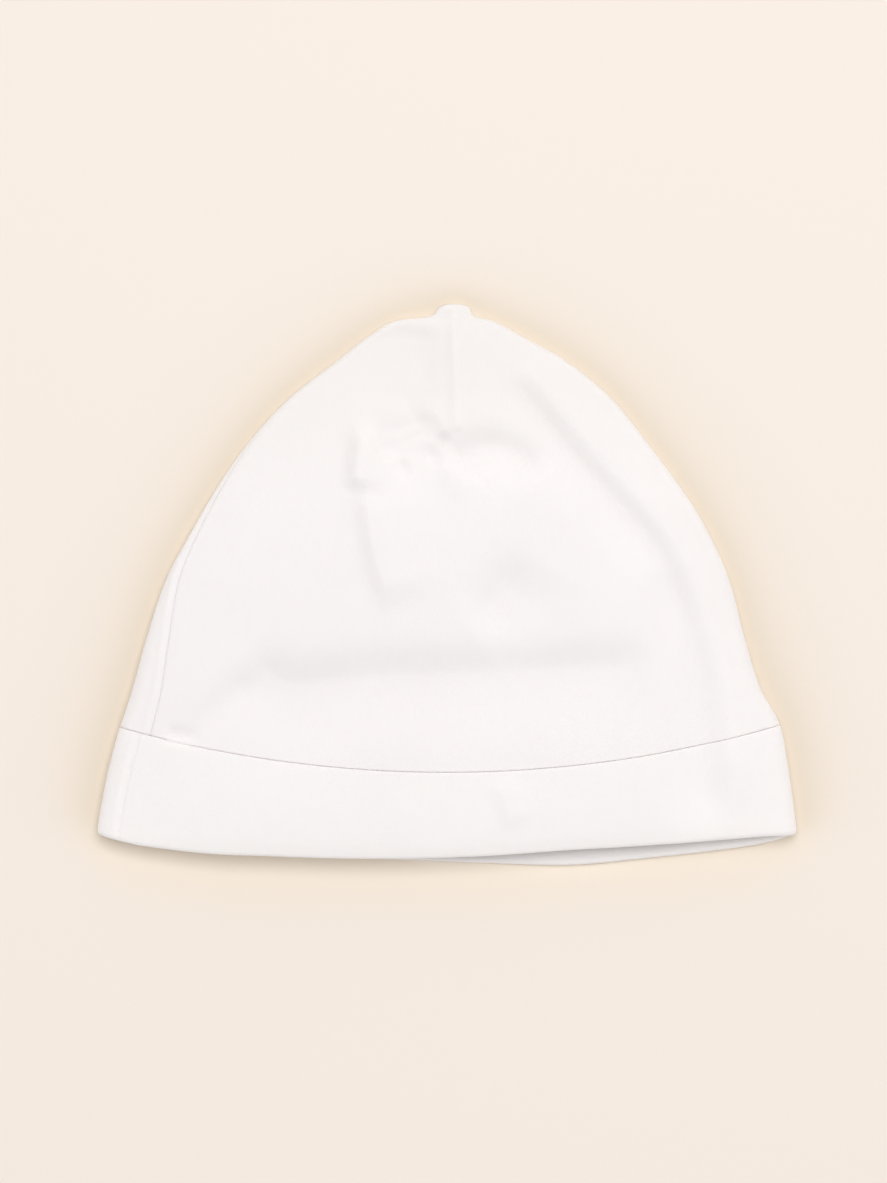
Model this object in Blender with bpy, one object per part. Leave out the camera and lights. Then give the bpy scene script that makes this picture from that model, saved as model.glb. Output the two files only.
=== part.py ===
"""A baby's jersey nightcap lying on its back, with a turned up cuff.

Metres, +Z up. +X runs across the cap, +Y runs from the opening to the nub, and
the cap rests on the plane Z = 0. Both halves of the crown follow one shell: a
flattened tube whose rows run across the cap and whose ends fold round at the
left and right edge. The cuff is wrapped around the lower end of that shell.
"""

from collections import namedtuple

import bpy
import numpy as np

MM = 0.001

# Overall sizes in millimetres, as the cap lies. LOFT is its thickness.
WIDTH = 174.5
CUFF_HEIGHT = 23.6
CROWN_HEIGHT = 116.9
LENGTH = CUFF_HEIGHT + CROWN_HEIGHT
LOFT = 13.0

# Cloth in millimetres: the crown is one layer of jersey, the cuff is two.
CROWN_WALL = 1.0
APEX_WALL = 1.5
CUFF_WALL = 1.1
GAP = 0.3

# The cuff's fold, its inner lip and the slope of the crown just above its edge.
FOLD_RADIUS = (CROWN_WALL + GAP + CUFF_WALL) / 2
LIP_END = 4.2
CUFF_RISE = 6.0
EDGE_ROLL = 0.4

# How many steps the meshes take, how much closer together the columns are at a
# side fold and over what share of its arc, the step of a normal in millimetres,
# and the angle in radians from which an edge is shaded sharp.
FRONT_STEPS = 52
BACK_STEPS = 24
ROUND_STEPS = 4
CUFFED_STEPS = 4
RAMP_STEPS = 4
ROWS_BETWEEN = 16
SEARCH_STEPS = 600
EDGE_DENSITY = 2.6
EDGE_REACH = 0.7
NORMAL_STEP = 0.5
SHARP_ANGLE = 0.9

# The topmost rows of the mesh, as shares of CROWN_HEIGHT below the nub's end, and
# the shares between which the wall thickens to APEX_WALL.
TOP_ROWS = (0.165, 0.125, 0.09, 0.0625, 0.044, 0.031, 0.022, 0.011, 0.0)
APEX_FULL = 0.015
APEX_NONE = 0.085

# Rows of the shell from the opening to the nub. middle, left_end and right_end
# are the heights of the row there: shares of CUFF_HEIGHT above the opening in
# the cuff's rows, and of CROWN_HEIGHT above the cuff's edge in the crown's.
# left and right are its ends across, as shares of half the WIDTH. edge is the
# radius of the side fold and crest is the height of the front at the middle, as
# shares of LOFT. seam is how far the left seam lies inside the left edge, as a
# share of WIDTH.
Row = namedtuple("Row", "middle left_end right_end left right edge crest seam")
CUFF_ROWS = (
    Row(0.06, 0.333, 0.330, -1.004, 1.003, 0.270, 0.695, 0.040),
    Row(0.25, 0.560, 0.565, -0.995, 0.996, 0.271, 0.81, 0.045),
    Row(0.54, 0.911, 0.920, -0.977, 0.983, 0.272, 0.86, 0.052),
    Row(1.00, 1.470, 1.494, -0.938, 0.955, 0.272, 0.89, 0.056),
)
CROWN_ROWS = (
    Row(0.063, 0.171, 0.177, -0.905, 0.900, 0.260, 0.915, 0.052),
    Row(0.195, 0.279, 0.279, -0.864, 0.856, 0.225, 0.96, 0.042),
    Row(0.363, 0.407, 0.407, -0.808, 0.811, 0.203, 1.00, 0.028),
    Row(0.537, 0.537, 0.537, -0.713, 0.731, 0.192, 0.97, 0.016),
    Row(0.708, 0.708, 0.708, -0.562, 0.570, 0.187, 0.85, 0.004),
    Row(0.808, 0.794, 0.794, -0.458, 0.477, 0.183, 0.72, 0.000),
    Row(0.894, 0.880, 0.880, -0.312, 0.338, 0.178, 0.57, 0.000),
    Row(0.942, 0.930, 0.930, -0.226, 0.218, 0.170, 0.465, 0.000),
    Row(0.966, 0.965, 0.965, -0.138, 0.126, 0.160, 0.385, 0.000),
    Row(0.975, 0.970, 0.970, -0.066, 0.094, 0.152, 0.335, 0.000),
    Row(0.981, 0.977, 0.977, -0.040, 0.074, 0.147, 0.305, 0.000),
    Row(1.000, 0.993, 0.993, -0.024, 0.066, 0.144, 0.290, 0.000),
)
OPENING = CUFF_ROWS[0].middle * CUFF_HEIGHT

# How far the opening's edge sags below the bow of its row, front and back, as
# shares of CUFF_HEIGHT. across runs from 0 at the left edge to 1 at the right.
Sag = namedtuple("Sag", "across front back")
OPENING_SAG = (
    Sag(0.00, 0.000, 0.000),
    Sag(0.07, 0.054, 0.036),
    Sag(0.15, 0.060, 0.042),
    Sag(0.25, 0.030, 0.018),
    Sag(0.40, 0.000, 0.000),
    Sag(0.55, -0.036, 0.036),
    Sag(0.69, -0.071, 0.089),
    Sag(0.78, -0.065, 0.071),
    Sag(0.94, -0.036, 0.054),
    Sag(1.00, 0.000, 0.000),
)

# Folds and dents of the front. Each runs through its points, in shares of half
# the WIDTH across and of LENGTH up from the opening. height is a share of LOFT,
# below zero for a valley. left and right are the half widths of its slopes on
# the two sides of its run, as shares of WIDTH, and fade is the share of the run
# that each end takes to die out.
Fold = namedtuple("Fold", "name points height left right fade")
FOLDS = (
    Fold(
        "slump above the cuff",
        ((-0.600, 0.375), (-0.510, 0.335), (-0.430, 0.318), (-0.220, 0.331), (0.010, 0.338), (0.456, 0.350),
         (0.640, 0.362)),
        -0.245, 0.036, 0.080, 0.20,
    ),
    Fold(
        "pull from the slump to the cuff's left end",
        ((-0.520, 0.350), (-0.600, 0.315), (-0.700, 0.262), (-0.800, 0.215)),
        -0.100, 0.026, 0.024, 0.35,
    ),
    Fold(
        "valley beside the right edge",
        ((0.152, 0.876), (0.214, 0.834), (0.357, 0.727), (0.543, 0.600), (0.617, 0.535), (0.652, 0.470),
         (0.685, 0.400)),
        -0.175, 0.023, 0.034, 0.28,
    ),
    Fold(
        "the same valley, down into the cuff",
        ((0.617, 0.535), (0.652, 0.470), (0.705, 0.350), (0.722, 0.256), (0.722, 0.186), (0.740, 0.112),
         (0.770, 0.048)),
        -0.155, 0.030, 0.042, 0.25,
    ),
    Fold(
        "roll between the valley and the right edge",
        ((0.200, 0.900), (0.264, 0.861), (0.407, 0.754), (0.594, 0.626), (0.675, 0.554), (0.717, 0.480),
         (0.790, 0.336), (0.814, 0.191), (0.840, 0.080)),
        0.110, 0.030, 0.024, 0.14,
    ),
    Fold(
        "hollow right of the dart's end",
        ((0.005, 0.700), (0.037, 0.723), (0.075, 0.738), (0.123, 0.744), (0.181, 0.736), (0.232, 0.714),
         (0.275, 0.680)),
        -0.240, 0.026, 0.036, 0.22,
    ),
    Fold(
        "hollow left of the dart's end",
        ((-0.225, 0.730), (-0.150, 0.755), (-0.080, 0.776), (-0.020, 0.803)),
        -0.220, 0.036, 0.018, 0.30,
    ),
    Fold(
        "crease left of the pad",
        ((-0.235, 0.700), (-0.222, 0.633), (-0.207, 0.575), (-0.178, 0.505), (-0.155, 0.450)),
        0.155, 0.060, 0.022, 0.28,
    ),
    Fold(
        "hollow right of the pad",
        ((0.125, 0.450), (0.175, 0.480), (0.245, 0.530), (0.305, 0.580)),
        -0.180, 0.036, 0.070, 0.38,
    ),
)
FOLD_STEPS = 6

# How far inside the side edges the folds reach their full height and the front
# its crest, in millimetres, and how round the front is between.
EDGE_FADE = 7.0
PLATEAU = 40.0
DOME = 1.8


def smooth(value):
    """A step from 0 to 1 with flat ends."""
    t = np.clip(value, 0.0, 1.0)
    return t * t * (3.0 - 2.0 * t)


def through(points, values, at):
    """A smooth curve through the values that doesn't swing past them."""
    points = np.asarray(points, float)
    values = np.asarray(values, float)
    steps = np.diff(points)
    slopes = np.diff(values) / steps
    tangents = np.zeros(len(points))
    tangents[0] = slopes[0]
    tangents[-1] = slopes[-1]
    for i in range(1, len(points) - 1):
        if slopes[i - 1] * slopes[i] > 0.0:
            one = 2.0 * steps[i] + steps[i - 1]
            two = steps[i] + 2.0 * steps[i - 1]
            tangents[i] = (one + two) / (one / slopes[i - 1] + two / slopes[i])
    at = np.clip(at, points[0], points[-1])
    k = np.clip(np.searchsorted(points, at) - 1, 0, len(points) - 2)
    t = (at - points[k]) / steps[k]
    rise = values[k + 1] - values[k]
    curve = t * t * (3.0 - 2.0 * t)
    start = t * (1.0 - t) ** 2 * steps[k] * tangents[k]
    end = t * t * (t - 1.0) * steps[k] * tangents[k + 1]
    return values[k] + rise * curve + start + end


def row_heights(name):
    """A column of heights in millimetres above the lowest point of the opening."""
    cuffed = [getattr(r, name) * CUFF_HEIGHT for r in CUFF_ROWS]
    return cuffed + [CUFF_HEIGHT + getattr(r, name) * CROWN_HEIGHT for r in CROWN_ROWS]


def column(name, row):
    """A column of the rows tables, as the table has it, at the height of a row's middle."""
    values = [getattr(r, name) for r in CUFF_ROWS + CROWN_ROWS]
    return through(row_heights("middle"), values, row)


def end_height(name, row):
    """The height of a row's end in millimetres."""
    return through(row_heights("middle"), row_heights(name), row)


def fold_line(fold):
    """A smooth line through a fold's points, in millimetres on the plan."""
    points = np.array(fold.points, float)
    points = np.stack([points[:, 0] * WIDTH / 2.0, (points[:, 1] - 0.5) * LENGTH], axis=1)
    ends = np.concatenate([[2 * points[0] - points[1]], points, [2 * points[-1] - points[-2]]])
    line = []
    for i in range(1, len(ends) - 2):
        for t in np.arange(FOLD_STEPS) / FOLD_STEPS:
            a, b, c, d = ends[i - 1 : i + 3]
            way = 2 * b + (c - a) * t + (2 * a - 5 * b + 4 * c - d) * t**2
            line.append((way + (3 * b - a - 3 * c + d) * t**3) / 2.0)
    return np.array(line + [points[-1]])


FOLD_LINES = [fold_line(fold) for fold in FOLDS]


def fold_height(fold, line, x, y):
    """How much a fold lifts or lowers the front at points of the plan."""
    best = np.full(x.shape, np.inf)
    side = np.zeros(x.shape)
    along = np.zeros(x.shape)
    count = len(line) - 1
    for i in range(count):
        start = line[i]
        way = line[i + 1] - start
        dx = x - start[0]
        dy = y - start[1]
        t = np.clip((dx * way[0] + dy * way[1]) / (way @ way), 0.0, 1.0)
        off_x = dx - t * way[0]
        off_y = dy - t * way[1]
        distance = np.hypot(off_x, off_y)
        nearer = distance < best
        best = np.where(nearer, distance, best)
        side = np.where(nearer, way[0] * off_y - way[1] * off_x, side)
        along = np.where(nearer, (i + t) / count, along)
    reach = np.where(side > 0.0, fold.left, fold.right) * WIDTH
    ends = smooth(np.minimum(along, 1.0 - along) / fold.fade)
    return fold.height * LOFT * ends * np.exp(-((best / reach) ** 2))


class Shell:
    """The outside of the cap: one closed loop across for every row."""

    def __init__(self, row):
        self.row = row
        self.left = column("left", row) * WIDTH / 2
        self.right = column("right", row) * WIDTH / 2
        self.edge = column("edge", row) * LOFT
        self.crest = column("crest", row) * LOFT
        self.seam = column("seam", row) * WIDTH
        self.arc = np.pi * self.edge
        self.flat = self.right - self.left - 2.0 * self.edge

    def half(self):
        """The length of one half of the loop, from edge to edge."""
        return self.arc + self.flat

    def place(self, run):
        """The place at a run along the loop from the left edge, over the front first."""
        half = self.half()
        run = np.mod(run, 2.0 * half)
        back = run > half
        run = np.where(back, 2.0 * half - run, run)
        quarter = self.arc / 2.0
        from_left = np.clip(run / self.edge, 0.0, np.pi / 2)
        from_right = np.clip((half - run) / self.edge, 0.0, np.pi / 2)
        straight = np.clip(run - quarter, 0.0, self.flat)
        x = self.left + self.edge * (1.0 - np.cos(from_left)) + straight
        x = x + self.edge * np.cos(from_right)
        lift = self.edge * np.minimum(np.sin(from_left), np.sin(from_right))
        y = self.height(x, back)
        z = np.where(back, self.edge - lift, self.edge + lift + self.loft(x, y))
        return np.stack([x, y, z], axis=-1)

    def height(self, x, back):
        """Where the row at x lies on the plan, measured from the cap's middle."""
        across = np.clip((x - self.left) / (self.right - self.left), 0.0, 1.0)
        left_end = end_height("left_end", self.row)
        right_end = end_height("right_end", self.row)
        ends = left_end + (right_end - left_end) * across
        bow = (self.row - (left_end + right_end) / 2.0) * 4.0 * across * (1.0 - across)
        places = [s.across for s in OPENING_SAG]
        front_sag = through(places, [s.front for s in OPENING_SAG], across)
        back_sag = through(places, [s.back for s in OPENING_SAG], across)
        near = smooth((CUFF_HEIGHT - self.row) / (CUFF_HEIGHT - OPENING))
        sag = np.where(back, back_sag, front_sag) * near * CUFF_HEIGHT
        return ends + bow - sag - LENGTH / 2.0

    def loft(self, x, y):
        """How far the front rises above the side folds."""
        inside = np.minimum(x - self.left, self.right - x)
        reach = np.minimum(PLATEAU, (self.right - self.left) / 2.0)
        share = np.clip(inside / reach, 0.0, 1.0)
        dome = (self.crest - 2.0 * self.edge) * (1.0 - (1.0 - share) ** DOME)
        folds = sum(fold_height(f, line, x, y) for f, line in zip(FOLDS, FOLD_LINES))
        return dome + folds * smooth(inside / EDGE_FADE)


def surface(row, run, depth):
    """Points a depth below the outside of the shell."""
    low = np.maximum(row - NORMAL_STEP, OPENING)
    high = np.minimum(row + NORMAL_STEP, LENGTH)
    shell = Shell(row)
    share = run / shell.half()
    along = Shell(high).place(share * Shell(high).half())
    along = along - Shell(low).place(share * Shell(low).half())
    across = shell.place(run + NORMAL_STEP) - shell.place(run - NORMAL_STEP)
    normal = np.cross(across, along)
    normal = normal / np.linalg.norm(normal, axis=-1, keepdims=True)
    return shell.place(run) - normal * np.asarray(depth)[..., None]


def spaced_runs(row, first, last, steps):
    """Runs from first to last, closer together around the side folds."""
    shell = Shell(np.array(row))
    fine = np.linspace(first, last, SEARCH_STEPS)
    half = shell.half()
    from_edge = np.abs(np.mod(fine + half / 2.0, half) - half / 2.0)
    weight = 1.0 + EDGE_DENSITY * np.exp(-((from_edge / (shell.arc * EDGE_REACH)) ** 2))
    total = np.concatenate([[0.0], np.cumsum((weight[1:] + weight[:-1]) / 2.0)])
    return np.interp(np.linspace(0.0, total[-1], steps + 1), total, fine)


def crown_depth(row):
    """How deep the crown's outside lies, to leave room for the cuff."""
    clear = CUFF_WALL + GAP
    return clear * (1.0 - smooth((row - CUFF_HEIGHT - EDGE_ROLL) / CUFF_RISE))


def crown_wall(row):
    """The crown's wall, thicker where the seam allowances meet at the nub."""
    below = (LENGTH - row) / CROWN_HEIGHT
    thinner = smooth((below - APEX_FULL) / (APEX_NONE - APEX_FULL))
    return APEX_WALL + (CROWN_WALL - APEX_WALL) * thinner


def cuffed_heights():
    """Heights of the rows that the cuff and the crown share."""
    return np.linspace(OPENING + LIP_END + GAP, CUFF_HEIGHT, CUFFED_STEPS + 1)


def crown_rows():
    """Heights of the crown's rows, closer together at the cuff and at the nub."""
    ramp = CUFF_HEIGHT + np.linspace(0.0, CUFF_RISE, RAMP_STEPS + 1)[1:]
    top = LENGTH - CROWN_HEIGHT * np.array(TOP_ROWS)
    above = np.linspace(ramp[-1], top[0], ROWS_BETWEEN + 1)[1:-1]
    return np.concatenate([cuffed_heights(), ramp, above, top])


def solid_object(name, loops, closed, colour, roughness):
    """A solid from rows of outer and inner points, open or closed across."""
    outer, inner = loops
    rows, count = outer.shape[:2]
    points = np.concatenate([outer.reshape(-1, 3), inner.reshape(-1, 3)]) * MM
    shift = rows * count
    faces = []
    for i in range(rows - 1):
        for j in range(count if closed else count - 1):
            a = i * count + j
            b = i * count + (j + 1) % count
            faces.append((a, b, b + count, a + count))
            faces.append((shift + a, shift + a + count, shift + b + count, shift + b))
    for j in range(count if closed else count - 1):
        a = j
        b = (j + 1) % count
        top_a = (rows - 1) * count + a
        top_b = (rows - 1) * count + b
        faces.append((a, shift + a, shift + b, b))
        faces.append((top_a, top_b, shift + top_b, shift + top_a))
    if not closed:
        for i in range(rows - 1):
            a = i * count
            b = a + count
            faces.append((a, b, shift + b, shift + a))
            a = a + count - 1
            b = a + count
            faces.append((a, shift + a, shift + b, b))
    return named_mesh(name, points, faces, colour, roughness)


def named_mesh(name, points, faces, colour, roughness):
    """A mesh object with its own cloth material."""
    mesh = bpy.data.meshes.new(name)
    mesh.from_pydata([tuple(p) for p in points], [], faces)
    mesh.validate()
    material = bpy.data.materials.new(name + "_jersey")
    material.use_nodes = True
    shader = material.node_tree.nodes["Principled BSDF"]
    shader.inputs["Base Color"].default_value = (*colour, 1.0)
    shader.inputs["Roughness"].default_value = roughness
    shader.inputs["Metallic"].default_value = 0.0
    mesh.materials.append(material)
    mesh.shade_smooth()
    mesh.set_sharp_from_angle(angle=SHARP_ANGLE)
    thing = bpy.data.objects.new(name, mesh)
    bpy.context.scene.collection.objects.link(thing)
    return thing


def seam_margin(shell, depth):
    """How far a panel stays from its seam: more where the side fold pinches the wall."""
    pinched = shell.edge / (shell.edge - depth)
    flat = smooth((shell.seam - shell.arc / 2.0) / (shell.arc / 4.0))
    return GAP / 2.0 * (pinched + (1.0 - pinched) * flat)


def crown_panel(name, front, colour, roughness):
    """One half of the crown, from seam to seam around one side fold."""
    rows = crown_rows()
    steps = FRONT_STEPS if front else BACK_STEPS
    outer = []
    inner = []
    for row in rows:
        shell = Shell(np.array(row))
        start = shell.seam + (0.0 if front else shell.half())
        for side, depth in ((outer, crown_depth(row)), (inner, crown_depth(row) + crown_wall(row))):
            margin = seam_margin(shell, depth)
            runs = spaced_runs(row, start + margin, start + shell.half() - margin, steps)
            side.append(surface(np.full(len(runs), row), runs, np.full(len(runs), depth)))
    return solid_object(name, (np.array(outer), np.array(inner)), False, colour, roughness)


def cuff_section():
    """The cuff's section: heights and depths, down the outside and up the inside."""
    shared = cuffed_heights()
    turn = np.linspace(0.0, np.pi, ROUND_STEPS + 1)
    fold = [(1.0 - np.sin(a), 1.0 - np.cos(a)) for a in turn]
    lip = OPENING + LIP_END
    section = [(height, 0.0) for height in shared[::-1]]
    section += [(OPENING + FOLD_RADIUS * up, FOLD_RADIUS * deep) for up, deep in fold]
    section += [(lip, 2.0 * FOLD_RADIUS), (lip, CUFF_WALL + GAP)]
    section += [(height, CUFF_WALL) for height in shared]
    return section + [(CUFF_HEIGHT + EDGE_ROLL, CUFF_WALL / 2.0)]


def cuff(colour, roughness):
    """The turned up band: one section carried around the opening."""
    section = cuff_section()
    loops = []
    for row, depth in section:
        shell = Shell(np.array(row))
        start = shell.seam
        middle = start + shell.half()
        front = spaced_runs(row, start, middle, FRONT_STEPS)
        back = spaced_runs(row, middle, start + 2.0 * shell.half(), BACK_STEPS)
        runs = np.concatenate([front[:-1], back[:-1]])
        at = np.full(len(runs), row)
        loops.append(surface(at, runs, np.full(len(runs), depth)))
    loops = np.array(loops)
    count = loops.shape[1]
    faces = []
    for i in range(len(section)):
        for j in range(count):
            a = i * count + j
            b = i * count + (j + 1) % count
            c = ((i + 1) % len(section)) * count + (j + 1) % count
            d = ((i + 1) % len(section)) * count + j
            faces.append((a, d, c, b))
    return named_mesh("cuff", loops.reshape(-1, 3) * MM, faces, colour, roughness)


def clear_scene():
    """Removes whatever the scene holds."""
    for thing in list(bpy.data.objects):
        bpy.data.objects.remove(thing)


clear_scene()
crown_panel("crown_front", True, (0.90, 0.875, 0.865), 0.92)
crown_panel("crown_back", False, (0.88, 0.855, 0.845), 0.92)
cuff((0.90, 0.875, 0.862), 0.90)
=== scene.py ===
"""Dresses the nightcap's frame: a jersey crown in two halves, a turned up double
cuff, a pale floor, a soft sky, a lamp overhead and a camera that looks straight down.
"""

from collections import namedtuple

import bpy
import numpy as np
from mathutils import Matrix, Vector


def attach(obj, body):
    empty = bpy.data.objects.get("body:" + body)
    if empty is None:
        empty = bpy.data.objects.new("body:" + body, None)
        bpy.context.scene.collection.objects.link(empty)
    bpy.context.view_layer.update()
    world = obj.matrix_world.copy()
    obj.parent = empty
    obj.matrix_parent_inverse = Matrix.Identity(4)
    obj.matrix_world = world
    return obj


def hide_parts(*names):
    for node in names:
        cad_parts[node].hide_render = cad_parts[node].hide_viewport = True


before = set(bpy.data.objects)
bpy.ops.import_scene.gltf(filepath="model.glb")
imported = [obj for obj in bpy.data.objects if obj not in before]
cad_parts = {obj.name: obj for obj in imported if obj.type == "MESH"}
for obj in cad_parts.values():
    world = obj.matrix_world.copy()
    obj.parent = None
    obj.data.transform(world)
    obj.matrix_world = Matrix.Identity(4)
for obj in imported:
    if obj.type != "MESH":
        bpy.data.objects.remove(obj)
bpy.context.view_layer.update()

MM = 0.001

# Overall sizes in millimetres, as in the frame. LOFT is the cap's thickness
# before its folds are added.
WIDTH = 174.5
CUFF_HEIGHT = 23.6
CROWN_HEIGHT = 116.9
LENGTH = CUFF_HEIGHT + CROWN_HEIGHT
LOFT = 13.0

# Cloth in millimetres, and how the cuff folds: the radius of its lower fold, and
# how far the turn inside reaches up from it.
JERSEY = 0.9
CUFF_CLOTH = 1.05
CUFF_CLEARANCE = 0.15
FOLD_RADIUS = 1.2
LIP_END = 4.6

# The cuff's upper edge, in millimetres: how high it rounds off and how far it
# stands above CUFF_HEIGHT. The crown comes out from under the cuff at CUFF_TUCK.
# It rises by CUFF_SWELL, a share of its depth, over CUFF_BULGE and by the rest
# over CUFF_RISE. It starts CROWN_START above the turn inside the cuff.
CUFF_ROLL = 0.27
CUFF_SHOWS = 0.02
CUFF_TUCK = -0.15
CUFF_BULGE = 0.4
CUFF_SWELL = 0.88
CUFF_RISE = 22.0
CROWN_START = 0.2

# The nub's inside shuts over this height, to a slit of twice this half width.
NUB_SHUTS = 3.0
NUB_SLIT = 0.03

# Seams in millimetres: a groove in each piece, and beside it a ridge where the
# seam's allowance inside shows through. SEAM_GAP stays open between the crown's
# halves, inside too, where no radius is counted as under NARROWEST. CUFF_SEAM is
# how far the cuff's seam lies from the left edge, along the loop.
SEAM_GAP = 0.02
NARROWEST = 0.1
GROOVE_WIDTH = 0.45
CROWN_GROOVE = 0.16
CUFF_GROOVE = 0.30
RIDGE_AWAY = 1.5
RIDGE_WIDTH = 0.9
CROWN_RIDGE = 0.30
CUFF_RIDGE = 0.25
CUFF_SEAM = 7.4

# The knit, in millimetres: the width of a wale and the height of a course. Its
# chevrons slant by a share of a course, its legs are rounded by a power, and its
# loops dip by a share of their height.
WALE = 0.62
COURSE = 0.50
CHEVRON_SLANT = 1.3
LEG_POWER = 0.6
LOOP_DIP = 0.45

# The noises of the fuzz and of the uneven white, in waves per metre, the depth
# of the relief in metres, and the knit's share of it beside the fuzz. Then how
# lit the tone is by itself, by the relief and by the uneven white: the relief's
# part is painted shade in the low places of the knit and fuzz, the uneven white's
# part the cloth's own tone.
FUZZ_SCALE = 2600.0
CLOUD_SCALE = 38.0
KNIT_DEPTH = 0.00012
KNIT_SHARE = 0.75
LIT_BASE = 0.45
LIT_BY_KNIT = 0.35
LIT_BY_CLOUD = 0.4

# Base colours: the cloth's lit and shaded tones, and painted shade over the crown
# toward the nub, a little darker and warmer, which comes in between two heights on
# the plan, in metres.
CROWN_TONES = (0.945, 0.908, 0.897), (0.83, 0.79, 0.780)
# Painted light: the cuff's tones are a little lighter than the crown's, so the cuff stays bright down to
# its lower fold.
CUFF_TONES_PAINTED_LIGHTER = (0.955, 0.920, 0.908), (0.86, 0.82, 0.808)
NUB_PAINTED_SHADE = (0.965, 0.960, 0.945)
NUB_SHADE_FROM = 0.020
NUB_SHADE_TO = 0.066

# The paper's colour in the open, and two colours painted on it where the cap
# hides the sky: painted shade, darker and warmer, near the cap, and painted light,
# lighter and warmer, that lifts the shadow near the cap's bottom edge. These two
# change over between two heights on the plan, in metres. They come in within a
# reach, in metres, by how open the paper is to the sky, as a share.
PAPER = (0.90, 0.815, 0.735)
PAPER_PAINTED_SHADE = (0.800, 0.705, 0.585)
PAPER_PAINTED_LIGHT_BELOW = (0.935, 0.835, 0.715)
PAINTED_LIGHT_BELOW_FULL = -0.072
PAINTED_LIGHT_BELOW_NONE = -0.056
PAINTED_SHADE_REACH = 0.030
PAINTED_SHADE_FULL = 0.84
PAINTED_SHADE_NONE = 0.985
FLOOR_SIDE = 3.0

# The light. The world's strength falls from the horizon to overhead between two
# heights, as sines of the angle above the horizon. The lamp is square, and its
# place and side are in metres.
SKY_COLOUR = (0.97, 0.985, 1.0)
SKY_AT_HORIZON = 0.84
SKY_OVERHEAD = 0.15
SKY_FALLS_FROM = 0.35
SKY_FALLS_TO = 0.85
LAMP_PLACE = (0.12, 0.42, 1.85)
LAMP_SIDE = 1.3
LAMP_POWER = 27.6
LAMP_COLOUR = (1.0, 0.985, 0.975)

# Rows of the shell, as shares of CUFF_HEIGHT above the opening's lowest point,
# then of CROWN_HEIGHT above the cuff's edge. left and right are shares of half
# the WIDTH, edge and crest shares of LOFT and seam a share of WIDTH.
Row = namedtuple("Row", "middle left_end right_end left right edge crest seam")
CUFF_ROWS = (
    Row(0.06, 0.333, 0.330, -1.004, 1.003, 0.270, 0.695, 0.040),
    Row(0.25, 0.560, 0.565, -0.995, 0.996, 0.271, 0.81, 0.045),
    Row(0.54, 0.911, 0.920, -0.977, 0.983, 0.272, 0.86, 0.052),
    Row(1.00, 1.470, 1.494, -0.938, 0.955, 0.272, 0.89, 0.056),
)
CROWN_ROWS = (
    Row(0.063, 0.171, 0.177, -0.905, 0.900, 0.260, 0.915, 0.052),
    Row(0.195, 0.279, 0.279, -0.864, 0.856, 0.225, 0.96, 0.042),
    Row(0.363, 0.407, 0.407, -0.808, 0.811, 0.203, 1.00, 0.028),
    Row(0.537, 0.537, 0.537, -0.713, 0.731, 0.192, 0.97, 0.016),
    Row(0.708, 0.708, 0.708, -0.562, 0.570, 0.187, 0.85, 0.004),
    Row(0.808, 0.794, 0.794, -0.458, 0.477, 0.183, 0.72, 0.000),
    Row(0.894, 0.880, 0.880, -0.312, 0.338, 0.178, 0.57, 0.000),
    Row(0.942, 0.930, 0.930, -0.226, 0.218, 0.170, 0.465, 0.000),
    Row(0.966, 0.965, 0.965, -0.138, 0.126, 0.160, 0.385, 0.000),
    Row(0.975, 0.970, 0.970, -0.066, 0.094, 0.152, 0.335, 0.000),
    Row(0.981, 0.977, 0.977, -0.040, 0.074, 0.147, 0.305, 0.000),
    Row(1.000, 0.993, 0.993, -0.024, 0.066, 0.144, 0.290, 0.000),
)
OPENING = CUFF_ROWS[0].middle * CUFF_HEIGHT

# How far the opening's edge sags, as shares of CUFF_HEIGHT.
Sag = namedtuple("Sag", "across front back")
OPENING_SAG = (
    Sag(0.00, 0.000, 0.000),
    Sag(0.07, 0.054, 0.036),
    Sag(0.15, 0.060, 0.042),
    Sag(0.25, 0.030, 0.018),
    Sag(0.40, 0.000, 0.000),
    Sag(0.55, -0.036, 0.036),
    Sag(0.69, -0.071, 0.089),
    Sag(0.78, -0.065, 0.071),
    Sag(0.94, -0.036, 0.054),
    Sag(1.00, 0.000, 0.000),
)

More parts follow.
